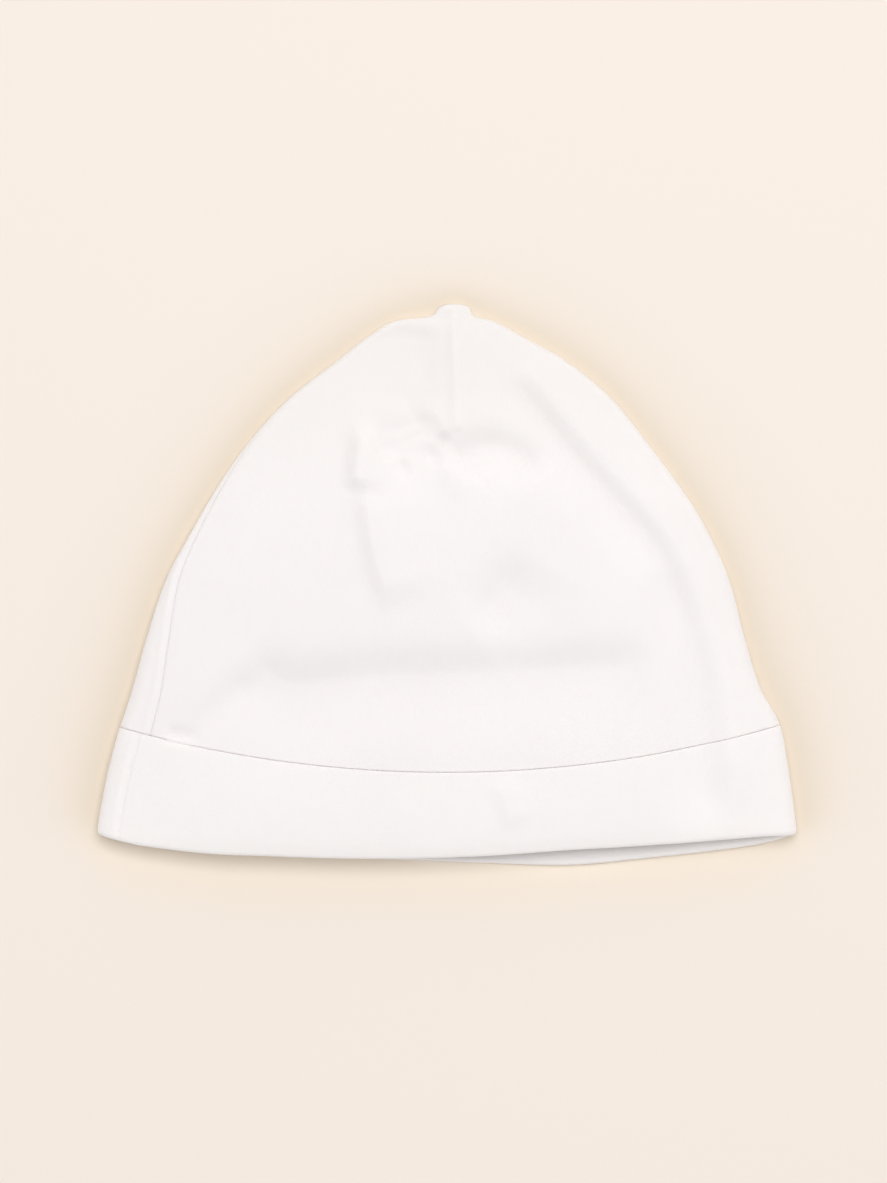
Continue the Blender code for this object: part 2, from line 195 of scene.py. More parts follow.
# Folds and dents of the front. Each runs through its points, in shares of half
# the WIDTH across and of LENGTH up from the opening. height is a share of LOFT,
# below zero for a valley. left and right are the half widths of its slopes on
# the two sides of its run, as shares of WIDTH. fade is the share of the run that
# each end takes. The pad is the raised cloth below the dart's end.
Fold = namedtuple("Fold", "name points height left right fade")
FOLDS = (
    Fold(
        "slump above the cuff",
        ((-0.600, 0.375), (-0.510, 0.335), (-0.430, 0.318), (-0.220, 0.331), (0.010, 0.338), (0.456, 0.350),
         (0.640, 0.362)),
        -0.245, 0.036, 0.080, 0.20,
    ),
    Fold(
        "pull from the slump to the cuff's left end",
        ((-0.520, 0.350), (-0.600, 0.315), (-0.700, 0.262), (-0.800, 0.215)),
        -0.100, 0.026, 0.024, 0.35,
    ),
    Fold(
        "valley beside the right edge",
        ((0.152, 0.876), (0.214, 0.834), (0.357, 0.727), (0.543, 0.600), (0.617, 0.535), (0.652, 0.470),
         (0.685, 0.400)),
        -0.175, 0.023, 0.034, 0.28,
    ),
    Fold(
        "the same valley, down into the cuff",
        ((0.617, 0.535), (0.652, 0.470), (0.705, 0.350), (0.722, 0.256), (0.722, 0.186), (0.740, 0.112),
         (0.770, 0.048)),
        -0.155, 0.030, 0.042, 0.25,
    ),
    Fold(
        "roll between the valley and the right edge",
        ((0.200, 0.900), (0.264, 0.861), (0.407, 0.754), (0.594, 0.626), (0.675, 0.554), (0.717, 0.480),
         (0.790, 0.336), (0.814, 0.191), (0.840, 0.080)),
        0.110, 0.030, 0.024, 0.14,
    ),
    Fold(
        "hollow right of the dart's end",
        ((0.005, 0.700), (0.037, 0.723), (0.075, 0.738), (0.123, 0.744), (0.181, 0.736), (0.232, 0.714),
         (0.275, 0.680)),
        -0.240, 0.026, 0.036, 0.22,
    ),
    Fold(
        "hollow left of the dart's end",
        ((-0.225, 0.730), (-0.150, 0.755), (-0.080, 0.776), (-0.020, 0.803)),
        -0.220, 0.036, 0.018, 0.30,
    ),
    Fold(
        "crease left of the pad",
        ((-0.235, 0.700), (-0.222, 0.633), (-0.207, 0.575), (-0.178, 0.505), (-0.155, 0.450)),
        0.155, 0.060, 0.016, 0.28,
    ),
    Fold(
        "hollow right of the pad",
        ((0.055, 0.418), (0.125, 0.455), (0.195, 0.505), (0.255, 0.556)),
        -0.190, 0.036, 0.070, 0.44,
    ),
    Fold(
        "crease left of the dart",
        ((-0.240, 0.800), (-0.245, 0.745), (-0.252, 0.700), (-0.258, 0.660)),
        0.210, 0.030, 0.015, 0.30,
    ),
    Fold(
        "groove at the dart's end",
        ((-0.003, 0.778), (-0.020, 0.743), (-0.043, 0.705)),
        -0.150, 0.012, 0.013, 0.35,
    ),
    Fold(
        "bump below the dart's end",
        ((0.020, 0.730), (0.018, 0.690), (0.012, 0.640)),
        0.050, 0.020, 0.020, 0.40,
    ),
    Fold(
        "pucker left of the dart's end",
        ((-0.205, 0.748), (-0.140, 0.763), (-0.070, 0.776), (-0.020, 0.781)),
        0.040, 0.009, 0.010, 0.30,
    ),
    Fold(
        "hollow under the pucker",
        ((-0.180, 0.722), (-0.120, 0.730), (-0.060, 0.735), (-0.020, 0.742)),
        -0.110, 0.013, 0.030, 0.30,
    ),
    Fold(
        "short pucker under it",
        ((-0.140, 0.730), (-0.122, 0.708), (-0.100, 0.685)),
        -0.070, 0.008, 0.010, 0.45,
    ),
    Fold(
        "pucker at the cuff's left end",
        ((-0.82, 0.240), (-0.76, 0.234), (-0.69, 0.232)),
        -0.085, 0.012, 0.010, 0.40,
    ),
    Fold(
        "crease in the cuff",
        ((0.135, 0.165), (0.17, 0.115), (0.19, 0.06)),
        0.060, 0.030, 0.012, 0.35,
    ),
)

# Steps of a fold's line between two of its points, and the step and margin of
# the map that the folds are added up on, in millimetres.
FOLD_STEPS = 6
MAP_STEP = 0.3
MAP_MARGIN = 3.0

# How far inside the side edges the folds reach their full height and the front
# its crest, in millimetres, and how round the front is between.
EDGE_FADE = 7.0
PLATEAU = 40.0
DOME = 1.8

# The dart's raised seam, from the nub down, through points as above.
DART = ((0.018, 1.000), (0.020, 0.930), (0.026, 0.850), (0.028, 0.768))
DART_RIDGE = Fold("dart ridge", DART, 0.055, 0.0075, 0.0090, 0.06)
DART_TROUGH = Fold(
    "trough left of the dart",
    ((-0.070, 0.970), (-0.077, 0.920), (-0.080, 0.860), (-0.080, 0.790)),
    -0.120, 0.030, 0.055, 0.25,
)

# Meshes: rows and columns of the fine skins, the step of the coarse inside, rows
# of the cuff's parts and steps of its edge and lower fold. The surface's
# direction comes from places SLOPE_STEP to each side, in millimetres, and
# spread() adds up its weight over SPREAD_STEPS places.
CROWN_GRID_ROWS = 258
FRONT_COLUMNS = 300
BACK_COLUMNS = 180
INSIDE_STEP = 3
CUFF_COLUMNS = 620
CUFF_OUTSIDE_ROWS = 26
CUFF_LIP_ROWS = 4
CUFF_INSIDE_ROWS = 8
ROLL_STEPS = 5
TURN_STEPS = 15
SLOPE_STEP = 0.3
SPREAD_STEPS = 900

# Where rows and columns lie closer together: how much closer, and within how
# many millimetres. The dart's middle lies DART_MIDDLE beyond its first point, and
# the cuff's edge is densest CUFF_EDGE_MIDDLE above it. AT_TOP starts TOP_REACH
# below the top.
Dense = namedtuple("Dense", "more within")
AT_SEAM = Dense(2.5, 2.5)
AT_SIDE_FOLD = Dense(1.5, 5.0)
AT_DART = Dense(3.0, 3.5)
DART_MIDDLE = 2.0
AT_CUFF_SEAM = Dense(3.0, 2.0)
AT_CUFF_FOLD = Dense(1.5, 6.0)
AT_CUFF_EDGE = Dense(3.0, 1.2)
CUFF_EDGE_MIDDLE = 0.7
ABOVE_CUFF = Dense(1.2, 5.0)
AT_TOP = Dense(1.6, 8.0)
TOP_REACH = 14.0


def smooth(value):
    """A step from 0 to 1 with flat ends."""
    t = np.clip(value, 0.0, 1.0)
    return t * t * (3.0 - 2.0 * t)


def bump(value):
    """A bell of height 1 about 0."""
    return np.exp(-(value**2))


def closer(dense, away):
    """How much closer points lie at a distance from a place."""
    return dense.more * bump(away / dense.within)


def through(points, values, at):
    """A smooth curve through the values that doesn't swing past them."""
    points = np.asarray(points, float)
    values = np.asarray(values, float)
    steps = np.diff(points)
    slopes = np.diff(values) / steps
    tangents = np.zeros(len(points))
    tangents[0] = slopes[0]
    tangents[-1] = slopes[-1]
    for i in range(1, len(points) - 1):
        if slopes[i - 1] * slopes[i] > 0.0:
            one = 2.0 * steps[i] + steps[i - 1]
            two = steps[i] + 2.0 * steps[i - 1]
            tangents[i] = (one + two) / (one / slopes[i - 1] + two / slopes[i])
    at = np.clip(at, points[0], points[-1])
    k = np.clip(np.searchsorted(points, at) - 1, 0, len(points) - 2)
    t = (at - points[k]) / steps[k]
    rise = values[k + 1] - values[k]
    curve = t * t * (3.0 - 2.0 * t)
    start = t * (1.0 - t) ** 2 * steps[k] * tangents[k]
    end = t * t * (t - 1.0) * steps[k] * tangents[k + 1]
    return values[k] + rise * curve + start + end


def row_heights(name):
    """A column of heights in millimetres above the lowest point of the opening."""
    cuffed = [getattr(r, name) * CUFF_HEIGHT for r in CUFF_ROWS]
    return cuffed + [CUFF_HEIGHT + getattr(r, name) * CROWN_HEIGHT for r in CROWN_ROWS]


def column(name, row):
    """A column of the two tables of rows, read at the height of a row's middle."""
    values = [getattr(r, name) for r in CUFF_ROWS + CROWN_ROWS]
    return through(row_heights("middle"), values, row)


def end_height(name, row):
    """The height of a row's end in millimetres."""
    return through(row_heights("middle"), row_heights(name), row)


def fold_line(fold):
    """A smooth line through a fold's points, in millimetres on the plan."""
    points = np.array(fold.points, float)
    points = np.stack([points[:, 0] * WIDTH / 2.0, (points[:, 1] - 0.5) * LENGTH], axis=1)
    ends = np.concatenate([[2 * points[0] - points[1]], points, [2 * points[-1] - points[-2]]])
    line = []
    for i in range(1, len(ends) - 2):
        for t in np.arange(FOLD_STEPS) / FOLD_STEPS:
            a, b, c, d = ends[i - 1 : i + 3]
            way = 2 * b + (c - a) * t + (2 * a - 5 * b + 4 * c - d) * t**2
            line.append((way + (3 * b - a - 3 * c + d) * t**3) / 2.0)
    return np.array(line + [points[-1]])


def fold_height(fold, x, y):
    """How much a fold lifts or lowers the front at points of the plan."""
    line = fold_line(fold)
    best = np.full(x.shape, np.inf)
    side = np.zeros(x.shape)
    along = np.zeros(x.shape)
    count = len(line) - 1
    for i in range(count):
        start = line[i]
        way = line[i + 1] - start
        dx = x - start[0]
        dy = y - start[1]
        t = np.clip((dx * way[0] + dy * way[1]) / (way @ way), 0.0, 1.0)
        off_x = dx - t * way[0]
        off_y = dy - t * way[1]
        distance = np.hypot(off_x, off_y)
        nearer = distance < best
        best = np.where(nearer, distance, best)
        side = np.where(nearer, way[0] * off_y - way[1] * off_x, side)
        along = np.where(nearer, (i + t) / count, along)
    reach = np.where(side > 0.0, fold.left, fold.right) * WIDTH
    ends = smooth(np.minimum(along, 1.0 - along) / fold.fade)
    return fold.height * LOFT * ends * bump(best / reach)


def plan_places(size):
    """Places of the map of lifts along one side of the plan, in millimetres."""
    return np.arange(-size / 2.0 - MAP_MARGIN, size / 2.0 + MAP_MARGIN, MAP_STEP)


def lift_map(folds):
    """The folds added up on a fine grid of the plan."""
    across = plan_places(WIDTH)
    up = plan_places(LENGTH)
    x, y = np.meshgrid(across, up)
    lifts = np.zeros(x.shape)
    for fold in folds:
        line = fold_line(fold)
        reach = 3.0 * max(fold.left, fold.right) * WIDTH
        first, last = np.searchsorted(across, (line[:, 0].min() - reach, line[:, 0].max() + reach))
        low, high = np.searchsorted(up, (line[:, 1].min() - reach, line[:, 1].max() + reach))
        part = (slice(low, high), slice(first, last))
        lifts[part] += fold_height(fold, x[part], y[part])
    return lifts


def lift_at(lifts, x, y):
    """The map of lifts read between its points."""
    u = np.clip((x - plan_places(WIDTH)[0]) / MAP_STEP, 0.0, lifts.shape[1] - 1.001)
    v = np.clip((y - plan_places(LENGTH)[0]) / MAP_STEP, 0.0, lifts.shape[0] - 1.001)
    i = u.astype(int)
    j = v.astype(int)
    low = lifts[j, i] * (1.0 - u + i) + lifts[j, i + 1] * (u - i)
    high = lifts[j + 1, i] * (1.0 - u + i) + lifts[j + 1, i + 1] * (u - i)
    return low * (1.0 - v + j) + high * (v - j)


class Shell:
    """The outside of the cap: one closed loop across for every row."""

    def __init__(self, row):
        self.row = row
        self.left = column("left", row) * WIDTH / 2
        self.right = column("right", row) * WIDTH / 2
        self.edge = column("edge", row) * LOFT
        self.crest = column("crest", row) * LOFT
        self.seam = column("seam", row) * WIDTH
        self.arc = np.pi * self.edge
        self.flat = self.right - self.left - 2.0 * self.edge

    def half(self):
        """The length of one half of the loop, from edge to edge."""
        return self.arc + self.flat

    def place(self, run, lifts):
        """The place at a run along the loop from the left edge, over the front first."""
        half = self.half()
        run = np.mod(run, 2.0 * half)
        back = run > half
        run = np.where(back, 2.0 * half - run, run)
        from_left = np.clip(run / self.edge, 0.0, np.pi / 2)
        from_right = np.clip((half - run) / self.edge, 0.0, np.pi / 2)
        straight = np.clip(run - self.arc / 2.0, 0.0, self.flat)
        x = self.left + self.edge * (1.0 - np.cos(from_left)) + straight
        x = x + self.edge * np.cos(from_right)
        lift = self.edge * np.minimum(np.sin(from_left), np.sin(from_right))
        y = self.height(x, back)
        z = np.where(back, self.edge - lift, self.edge + lift + self.loft(x, y, lifts))
        return np.stack([x, y, z], axis=-1)

    def height(self, x, back):
        """Where the row at x lies on the plan, measured from the cap's middle."""
        across = np.clip((x - self.left) / (self.right - self.left), 0.0, 1.0)
        left_end = end_height("left_end", self.row)
        right_end = end_height("right_end", self.row)
        ends = left_end + (right_end - left_end) * across
        bow = (self.row - (left_end + right_end) / 2.0) * 4.0 * across * (1.0 - across)
        places = [s.across for s in OPENING_SAG]
        front_sag = through(places, [s.front for s in OPENING_SAG], across)
        back_sag = through(places, [s.back for s in OPENING_SAG], across)
        near = smooth((CUFF_HEIGHT - self.row) / (CUFF_HEIGHT - OPENING))
        sag = np.where(back, back_sag, front_sag) * near * CUFF_HEIGHT
        return ends + bow - sag - LENGTH / 2.0

    def loft(self, x, y, lifts):
        """How far the front rises above the side folds."""
        inside = np.minimum(x - self.left, self.right - x)
        reach = np.minimum(PLATEAU, (self.right - self.left) / 2.0)
        share = np.clip(inside / reach, 0.0, 1.0)
        dome = (self.crest - 2.0 * self.edge) * (1.0 - (1.0 - share) ** DOME)
        return dome + lift_at(lifts, x, y) * smooth(inside / EDGE_FADE)


def surface(row, run, depth, lifts):
    """Points a depth below the outside of the shell, never under the floor."""
    low = Shell(np.maximum(row - SLOPE_STEP, OPENING))
    high = Shell(np.minimum(row + SLOPE_STEP, LENGTH))
    shell = Shell(row)
    share = run / shell.half()
    along = high.place(share * high.half(), lifts) - low.place(share * low.half(), lifts)
    across = shell.place(run + SLOPE_STEP, lifts) - shell.place(run - SLOPE_STEP, lifts)
    normal = np.cross(across, along)
    normal = normal / np.linalg.norm(normal, axis=-1, keepdims=True)
    points = shell.place(run, lifts) - normal * np.asarray(depth)[..., None]
    points[..., 2] = np.maximum(points[..., 2], 0.0)
    return points


CUFF_LIFTS = lift_map(FOLDS)
CROWN_LIFTS = lift_map(FOLDS + (DART_TROUGH, DART_RIDGE))
NO_LIFTS = np.zeros(CUFF_LIFTS.shape)


def spread(first, last, weight, count):
    """count + 1 places from first to last, closer together where the weight is high."""
    fine = np.linspace(first, last, SPREAD_STEPS)
    at = weight(fine)
    total = np.concatenate([[0.0], np.cumsum((at[1:] + at[:-1]) / 2.0)])
    return np.interp(np.linspace(0.0, total[-1], count + 1), total, fine)


def add_uv(mesh, across, up):
    """A map of every point in millimetres of cloth, across the wales and up them."""
    layer = mesh.uv_layers.new(name="cloth")
    at = np.zeros(len(mesh.loops), np.int32)
    mesh.loops.foreach_get("vertex_index", at)
    layer.data.foreach_set("uv", np.stack([across[at], up[at]], axis=1).astype(np.float32).ravel())


def cloth_object(name, points, faces, across, up, material):
    """A smooth mesh object of one cloth, with its map."""
    mesh = bpy.data.meshes.new(name)
    mesh.from_pydata(points * MM, [], faces)
    mesh.validate()
    add_uv(mesh, across, up)
    mesh.shade_smooth()
    mesh.materials.append(material)
    thing = bpy.data.objects.new(name, mesh)
    bpy.context.scene.collection.objects.link(thing)
    return thing


def grid_faces(rows, count, first, closed, flip):
    """Quads of a grid of points."""
    a = np.arange(rows - 1)[:, None] * count + np.arange(count if closed else count - 1)[None, :]
    b = np.arange(rows - 1)[:, None] * count + (np.arange(a.shape[1])[None, :] + 1) % count
    quads = np.stack([a, b, b + count, a + count], axis=-1).reshape(-1, 4) + first
    return (quads[:, ::-1] if flip else quads).tolist()


def rim_faces(outer, inner, step):
    """Faces between an edge of the fine skin and the same edge of the coarse one."""
    faces = []
    for i in range(len(inner) - 1):
        fine = outer[i * step : (i + 1) * step + 1]
        faces.append([inner[i], inner[i + 1], *fine[::-1]])
    return faces


def crown_wall_depth(row):
    """How deep the crown's outside lies, to leave room for the cuff."""
    clear = CUFF_CLOTH + CUFF_CLEARANCE
    above = row - CUFF_HEIGHT
    near = smooth((above - CUFF_TUCK) / CUFF_BULGE)
    far = smooth(above / CUFF_RISE)
    return clear * (1.0 - CUFF_SWELL * near - (1.0 - CUFF_SWELL) * far)


def crown_skin(front, rows, columns, inside):
    """Points of one half of the crown, its outside or its inside, with cloth coordinates."""
    points = []
    runs = []
    lifts = CROWN_LIFTS if front else NO_LIFTS
    for row in rows:
        shell = Shell(np.array(row))
        start = float(shell.seam + (0.0 if front else shell.half()))
        half = float(shell.half())
        dart = float(DART[0][0] * WIDTH / 2 - shell.left) + DART_MIDDLE

        def weight(run, start=start, half=half, dart=dart):
            """Columns lie closer together at the seams, the side folds and the dart."""
            away = np.minimum(run - start, start + half - run)
            from_fold = np.abs(np.mod(run + half / 2.0, half) - half / 2.0)
            total = 1.0 + closer(AT_SEAM, away) + closer(AT_SIDE_FOLD, from_fold)
            return total + (closer(AT_DART, run - dart) if front else 0.0)

        deep = float(crown_wall_depth(row)) + (JERSEY if inside else 0.0)
        if inside:
            shut = smooth((row - LENGTH + NUB_SHUTS) / NUB_SHUTS)
            deep += (float(shell.edge) - NUB_SLIT - deep) * float(shut)
        margin = SEAM_GAP / 2.0 * float(shell.edge) / max(float(shell.edge) - deep, NARROWEST)
        run = spread(start + margin, start + half - margin, weight, columns)
        away = np.minimum(run - start, start + half - run)
        groove = CROWN_GROOVE * bump(away / GROOVE_WIDTH)
        ridge = 0.0 if front else CROWN_RIDGE * bump((away - RIDGE_AWAY) / RIDGE_WIDTH)
        depth = np.full(run.shape, deep) + (0.0 if inside else groove - ridge)
        points.append(surface(np.full(run.shape, row), run, depth, lifts))
        runs.append(run - start - half / 2.0)
    return np.array(points), np.array(runs)


def crown_panel(name, front, material):
    """One half of the crown: a fine outside, a coarse inside and the rims between."""
    columns = FRONT_COLUMNS if front else BACK_COLUMNS
    first = OPENING + LIP_END + CROWN_START

    def weight(row):
        """Rows lie closer together at the cuff's edge and toward the nub."""
        above = row - CUFF_HEIGHT
        at_cuff = closer(AT_CUFF_EDGE, above - CUFF_EDGE_MIDDLE) + closer(ABOVE_CUFF, above)
        return 1.0 + at_cuff + AT_TOP.more * smooth((row - LENGTH + TOP_REACH) / AT_TOP.within)

    rows = spread(first, LENGTH, weight, CROWN_GRID_ROWS)
    outer, across = crown_skin(front, rows, columns, False)
    inner, across_in = crown_skin(front, rows[::INSIDE_STEP], columns // INSIDE_STEP, True)
    count = columns + 1
    count_in = columns // INSIDE_STEP + 1
    shift = outer.shape[0] * count
    faces = grid_faces(outer.shape[0], count, 0, False, False)
    faces += grid_faces(inner.shape[0], count_in, shift, False, True)
    grid = np.arange(shift).reshape(-1, count)
    grid_in = np.arange(inner.shape[0] * count_in).reshape(-1, count_in) + shift
    faces += rim_faces(list(grid[0]), list(grid_in[0]), INSIDE_STEP)
    faces += [f[::-1] for f in rim_faces(list(grid[-1]), list(grid_in[-1]), INSIDE_STEP)]
    faces += [f[::-1] for f in rim_faces(list(grid[:, 0]), list(grid_in[:, 0]), INSIDE_STEP)]
    faces += rim_faces(list(grid[:, -1]), list(grid_in[:, -1]), INSIDE_STEP)
    points = np.concatenate([outer.reshape(-1, 3), inner.reshape(-1, 3)])
    up = np.concatenate([np.repeat(rows, count), np.repeat(rows[::INSIDE_STEP], count_in)])
    flat_across = np.concatenate([across.ravel(), across_in.ravel()])
    faces = [[int(i) for i in f] for f in faces]
    return cloth_object(name, points, faces, flat_across, up, material)


def cuff_section():
    """The cuff's section: heights and depths, from its edge down the outside and up the inside."""
    top = CUFF_HEIGHT + CUFF_SHOWS - CUFF_ROLL
    fold = OPENING + FOLD_RADIUS
    lip = OPENING + LIP_END
    half = CUFF_CLOTH / 2.0
    roll = [np.pi / 2 * (1 - i / ROLL_STEPS) for i in range(ROLL_STEPS)]
    section = [(top + CUFF_ROLL * np.sin(a), half - half * np.cos(a)) for a in roll]
    section += [(h, 0.0) for h in np.linspace(top, fold, CUFF_OUTSIDE_ROWS)]
    turn = np.linspace(0.0, np.pi, TURN_STEPS)[1:-1]
    section += [(fold - FOLD_RADIUS * np.sin(a), FOLD_RADIUS * (1 - np.cos(a))) for a in turn]
    section += [(h, 2.0 * FOLD_RADIUS) for h in np.linspace(fold, lip, CUFF_LIP_ROWS)]
    section += [(lip, CUFF_CLOTH + CUFF_CLEARANCE)]
    section += [(h, CUFF_CLOTH) for h in np.linspace(lip, top, CUFF_INSIDE_ROWS)]
    section += [(top + CUFF_ROLL * np.sin(a), half + half * np.cos(a)) for a in roll[:0:-1]]
    return section


def cuff_band(name, material):
    """The turned up band, one section carried around the opening."""
    section = cuff_section()
    loops = []
    across = []
    up = []
    travelled = 0.0
    before = section[0]
    for row, depth in section:
        shell = Shell(np.array(row))
        half = float(shell.half())

        def weight(run, half=half):
            """Columns lie closer together at the seam and the side folds."""
            from_fold = np.abs(np.mod(run + half / 2.0, half) - half / 2.0)
            return 1.0 + closer(AT_CUFF_SEAM, run - CUFF_SEAM) + closer(AT_CUFF_FOLD, from_fold)

        run = spread(0.0, 2.0 * half, weight, CUFF_COLUMNS)[:-1]
        outside = 1.0 if depth < CUFF_CLOTH / 2 and row <= CUFF_HEIGHT else 0.0
        groove = CUFF_GROOVE * bump((run - CUFF_SEAM) / GROOVE_WIDTH)
        ridge = CUFF_RIDGE * bump((run - CUFF_SEAM + RIDGE_AWAY) / RIDGE_WIDTH)
        deep = np.full(run.shape, depth) + (groove - ridge) * outside
        loops.append(surface(np.full(run.shape, row), run, deep, CUFF_LIFTS))
        travelled += float(np.hypot(row - before[0], depth - before[1]))
        before = (row, depth)
        across.append(run)
        up.append(np.full(run.shape, -travelled))
    loops = np.array(loops)
    count = loops.shape[1]
    faces = grid_faces(len(section), count, 0, True, True)
    last = (len(section) - 1) * count
    for j in range(count):
        k = (j + 1) % count
        faces.append([j, last + j, last + k, k][::-1])
    across = np.array(across).ravel()
    return cloth_object(name, loops.reshape(-1, 3), faces, across, np.array(up).ravel(), material)


def node(tree, kind, place=(0, 0), **values):
    """A node with some of its sockets or settings set."""
    made = tree.nodes.new(kind)
    made.location = place
    for key, value in values.items():
        if key in made.inputs:
            made.inputs[key].default_value = value
        else:
            setattr(made, key, value)
    return made


def maths(tree, operation, one, two=None, three=None):
    """A math node fed by sockets or numbers, and its result."""
    made = tree.nodes.new("ShaderNodeMath")
    made.operation = operation
    for socket, value in zip(made.inputs, (one, two, three)):
        if value is None:
            continue
        if isinstance(value, (int, float)):
            socket.default_value = value
        else:
            tree.links.new(value, socket)
    return made.outputs[0]


def knit_height(tree, across, up, wale, course):
    """The height of plain knit: columns of chevrons, from 0 to 1."""
    column_at = maths(tree, "FRACT", maths(tree, "DIVIDE", across, wale))
    from_middle = maths(tree, "ABSOLUTE", maths(tree, "SUBTRACT", column_at, 0.5))
    slant = maths(tree, "MULTIPLY", from_middle, CHEVRON_SLANT)
    phase = maths(tree, "ADD", maths(tree, "DIVIDE", up, course), slant)
    loop = maths(tree, "COSINE", maths(tree, "MULTIPLY", phase, 2.0 * np.pi))
    loop = maths(tree, "MULTIPLY_ADD", loop, 0.5, 0.5)
    leg = maths(tree, "ABSOLUTE", maths(tree, "SINE", maths(tree, "MULTIPLY", column_at, 2.0 * np.pi)))
    body = maths(tree, "POWER", leg, LEG_POWER)
    dips = maths(tree, "MULTIPLY_ADD", loop, LOOP_DIP, 1.0 - LOOP_DIP)
    return maths(tree, "MULTIPLY", body, dips)


def jersey(name, colour, shade):
    """White cotton jersey: knit, a light fuzz, painted shade in the knit's low places and toward the nub,
    and a slight unevenness of its white.
    """
    material = bpy.data.materials.new(name)
    material.use_nodes = True
    tree = material.node_tree
    shader = tree.nodes["Principled BSDF"]
    shader.inputs["Roughness"].default_value = 0.93
    shader.inputs["Specular IOR Level"].default_value = 0.25
    shader.inputs["Sheen Weight"].default_value = 0.5
    shader.inputs["Sheen Roughness"].default_value = 0.5
    shader.inputs["Subsurface Weight"].default_value = 0.15
    shader.inputs["Subsurface Radius"].default_value = (0.0020, 0.0018, 0.0016)
    shader.inputs["Subsurface Scale"].default_value = 1.0
    cloth = node(tree, "ShaderNodeUVMap", (-1400, 0), uv_map="cloth")
    on_cloth = node(tree, "ShaderNodeSeparateXYZ", (-1200, 0))
    tree.links.new(cloth.outputs["UV"], on_cloth.inputs[0])
    knit = knit_height(tree, on_cloth.outputs[0], on_cloth.outputs[1], WALE, COURSE)
    place = node(tree, "ShaderNodeTexCoord", (-1400, -400))
    fuzz = node(tree, "ShaderNodeTexNoise", (-900, -300), Scale=FUZZ_SCALE, Detail=3.0, Roughness=0.6)
    cloud = node(tree, "ShaderNodeTexNoise", (-900, -600), Scale=CLOUD_SCALE, Detail=3.0, Roughness=0.55)
    for made in (fuzz, cloud):
        tree.links.new(place.outputs["Object"], made.inputs["Vector"])
    fuzzy = maths(tree, "MULTIPLY", fuzz.outputs["Fac"], 1.0 - KNIT_SHARE)
    mixed = maths(tree, "ADD", maths(tree, "MULTIPLY", knit, KNIT_SHARE), fuzzy)
    raised = node(tree, "ShaderNodeBump", (-300, -200), Strength=0.35, Distance=KNIT_DEPTH)
    tree.links.new(mixed, raised.inputs["Height"])
    tree.links.new(raised.outputs["Normal"], shader.inputs["Normal"])
    tint = node(tree, "ShaderNodeMix", (-300, 200), data_type="RGBA")
    tint.inputs["A"].default_value = (*shade, 1.0)
    tint.inputs["B"].default_value = (*colour, 1.0)
    # Painted shade: the lower the knit and fuzz, the nearer the colour is to the shaded tone; the cloud
    # noise is the cloth's own uneven white.
    deep = maths(tree, "MULTIPLY_ADD", mixed, LIT_BY_KNIT, LIT_BASE)
    uneven = maths(tree, "MULTIPLY_ADD", cloud.outputs["Fac"], LIT_BY_CLOUD, deep)
    tree.links.new(uneven, tint.inputs["Factor"])
    # Painted shade: toward the nub the crown's colour is multiplied a little darker and warmer.
    on_plan = node(tree, "ShaderNodeSeparateXYZ", (-900, 500))
    tree.links.new(place.outputs["Object"], on_plan.inputs[0])
    toward_nub = node(tree, "ShaderNodeMapRange", (-600, 500), interpolation_type="SMOOTHSTEP")
    toward_nub.inputs["From Min"].default_value = NUB_SHADE_FROM
    toward_nub.inputs["From Max"].default_value = NUB_SHADE_TO
    tree.links.new(on_plan.outputs[1], toward_nub.inputs["Value"])
    nub_shade = node(tree, "ShaderNodeMix", (-100, 300), data_type="RGBA", blend_type="MULTIPLY")
    nub_shade.inputs["B"].default_value = (*NUB_PAINTED_SHADE, 1.0)
    tree.links.new(toward_nub.outputs["Result"], nub_shade.inputs["Factor"])
    tree.links.new(tint.outputs["Result"], nub_shade.inputs["A"])
    tree.links.new(nub_shade.outputs["Result"], shader.inputs["Base Color"])
    return material


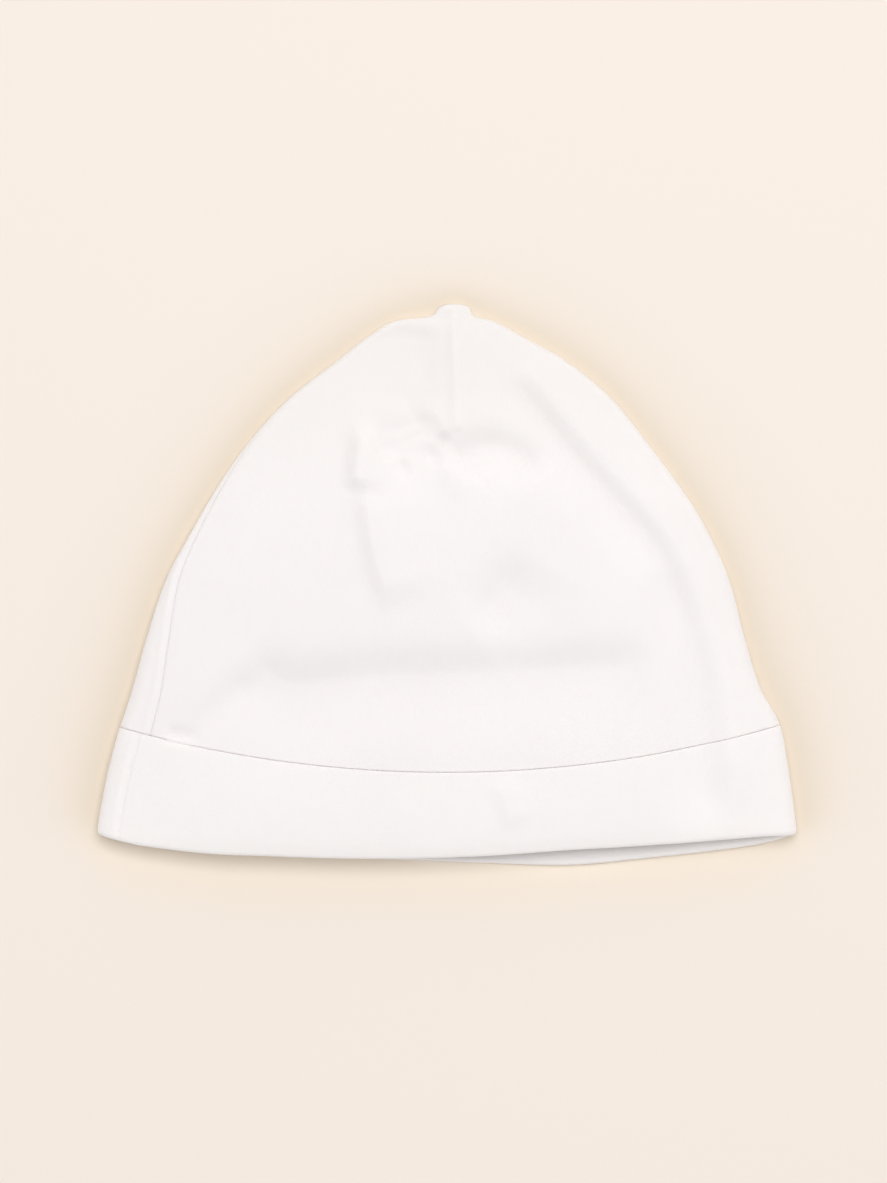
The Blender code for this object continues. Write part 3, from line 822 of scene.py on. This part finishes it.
def floor_material():
    """A smooth cream paper, with painted shade, darker and warmer, close around the cap, and painted light
    below its bottom edge.
    """
    material = bpy.data.materials.new("cream_paper")
    material.use_nodes = True
    tree = material.node_tree
    shader = tree.nodes["Principled BSDF"]
    shader.inputs["Roughness"].default_value = 0.9
    shader.inputs["Specular IOR Level"].default_value = 0.15
    # Painted shade: where the cap hides the sky from the paper, its colour moves from the open paper to the
    # painted shade, or near the bottom edge to the painted light.
    near = node(tree, "ShaderNodeAmbientOcclusion", (-700, 0), samples=12, Distance=PAINTED_SHADE_REACH)
    share = node(tree, "ShaderNodeMapRange", (-480, 0))
    share.inputs["From Min"].default_value = PAINTED_SHADE_FULL
    share.inputs["From Max"].default_value = PAINTED_SHADE_NONE
    tint = node(tree, "ShaderNodeMix", (-250, 0), data_type="RGBA")
    tint.inputs["B"].default_value = (*PAPER, 1.0)
    # Painted light: below the cap's bottom edge the painted shade gives way to a lighter, warmer colour.
    edge = node(tree, "ShaderNodeMix", (-480, 250), data_type="RGBA")
    edge.inputs["A"].default_value = (*PAPER_PAINTED_LIGHT_BELOW, 1.0)
    edge.inputs["B"].default_value = (*PAPER_PAINTED_SHADE, 1.0)
    place = node(tree, "ShaderNodeTexCoord", (-1100, -300))
    parts = node(tree, "ShaderNodeSeparateXYZ", (-900, -300))
    tree.links.new(place.outputs["Object"], parts.inputs[0])
    ends = node(tree, "ShaderNodeMapRange", (-480, -300), interpolation_type="SMOOTHSTEP")
    ends.inputs["From Min"].default_value = PAINTED_LIGHT_BELOW_FULL
    ends.inputs["From Max"].default_value = PAINTED_LIGHT_BELOW_NONE
    tree.links.new(parts.outputs[1], ends.inputs["Value"])
    tree.links.new(near.outputs["AO"], share.inputs["Value"])
    tree.links.new(ends.outputs["Result"], edge.inputs["Factor"])
    tree.links.new(edge.outputs["Result"], tint.inputs["A"])
    tree.links.new(share.outputs["Result"], tint.inputs["Factor"])
    tree.links.new(tint.outputs["Result"], shader.inputs["Base Color"])
    return material


def make_floor():
    """A wide plain floor under the cap."""
    mesh = bpy.data.meshes.new("floor")
    corners = [(x * FLOOR_SIDE, y * FLOOR_SIDE, 0) for x, y in ((-1, -1), (1, -1), (1, 1), (-1, 1))]
    mesh.from_pydata(corners, [], [(0, 1, 2, 3)])
    mesh.materials.append(floor_material())
    thing = bpy.data.objects.new("floor", mesh)
    bpy.context.scene.collection.objects.link(thing)


def make_lamp():
    """A broad square lamp overhead that shines at the cap."""
    data = bpy.data.lights.new("key", "AREA")
    data.shape = "SQUARE"
    data.size = LAMP_SIDE
    data.energy = LAMP_POWER
    data.color = LAMP_COLOUR
    lamp = bpy.data.objects.new("key", data)
    bpy.context.scene.collection.objects.link(lamp)
    lamp.location = LAMP_PLACE
    lamp.rotation_mode = "QUATERNION"
    lamp.rotation_quaternion = Vector(LAMP_PLACE).to_track_quat("Z", "Y")


def make_sky():
    """Light from all round, stronger near the horizon, and plain display of it."""
    world = bpy.data.worlds.new("studio")
    bpy.context.scene.world = world
    world.use_nodes = True
    tree = world.node_tree
    back = tree.nodes["Background"]
    back.inputs["Color"].default_value = (*SKY_COLOUR, 1.0)
    direction = node(tree, "ShaderNodeTexCoord", (-900, 0))
    parts = node(tree, "ShaderNodeSeparateXYZ", (-700, 0))
    fade = node(tree, "ShaderNodeMapRange", (-500, 0), interpolation_type="SMOOTHSTEP")
    fade.inputs["From Min"].default_value = SKY_FALLS_FROM
    fade.inputs["From Max"].default_value = SKY_FALLS_TO
    fade.inputs["To Min"].default_value = SKY_AT_HORIZON
    fade.inputs["To Max"].default_value = SKY_OVERHEAD
    tree.links.new(direction.outputs["Generated"], parts.inputs[0])
    tree.links.new(parts.outputs[2], fade.inputs["Value"])
    tree.links.new(fade.outputs["Result"], back.inputs["Strength"])
    bpy.context.scene.view_settings.view_transform = "Standard"
    bpy.context.scene.view_settings.look = "None"
    bpy.context.scene.view_settings.exposure = 0.0


def make_camera():
    """Looks straight down at the photograph's scale, which holds at scale_height."""
    frame_width, frame_height, pixel = 887, 1183, 0.25
    middle = (-0.875, -1.625)
    scale_height = 4.0
    away = 1200.0
    data = bpy.data.cameras.new("camera")
    data.sensor_width = 36.0
    data.lens = data.sensor_width * away / (max(frame_width, frame_height) * pixel)
    camera = bpy.data.objects.new("camera", data)
    bpy.context.scene.collection.objects.link(camera)
    camera.location = (middle[0] * MM, middle[1] * MM, (away + scale_height) * MM)
    bpy.context.scene.camera = camera


make_camera()
make_floor()
make_sky()
make_lamp()

crown_jersey = jersey("crown_jersey", *CROWN_TONES)
# Painted light: the cuff's jersey is the crown's, painted a little lighter.
cuff_jersey = jersey("cuff_jersey", *CUFF_TONES_PAINTED_LIGHTER)

front = crown_panel("crown_front_cloth", True, crown_jersey)
back = crown_panel("crown_back_cloth", False, crown_jersey)
cuff = cuff_band("cuff_cloth", cuff_jersey)

for piece, solid, slot in (
    (front, "crown_front", "crown_jersey"),
    (back, "crown_back", "crown_jersey"),
    (cuff, "cuff", "cuff_jersey"),
):
    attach(piece, "root")
    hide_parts(solid)
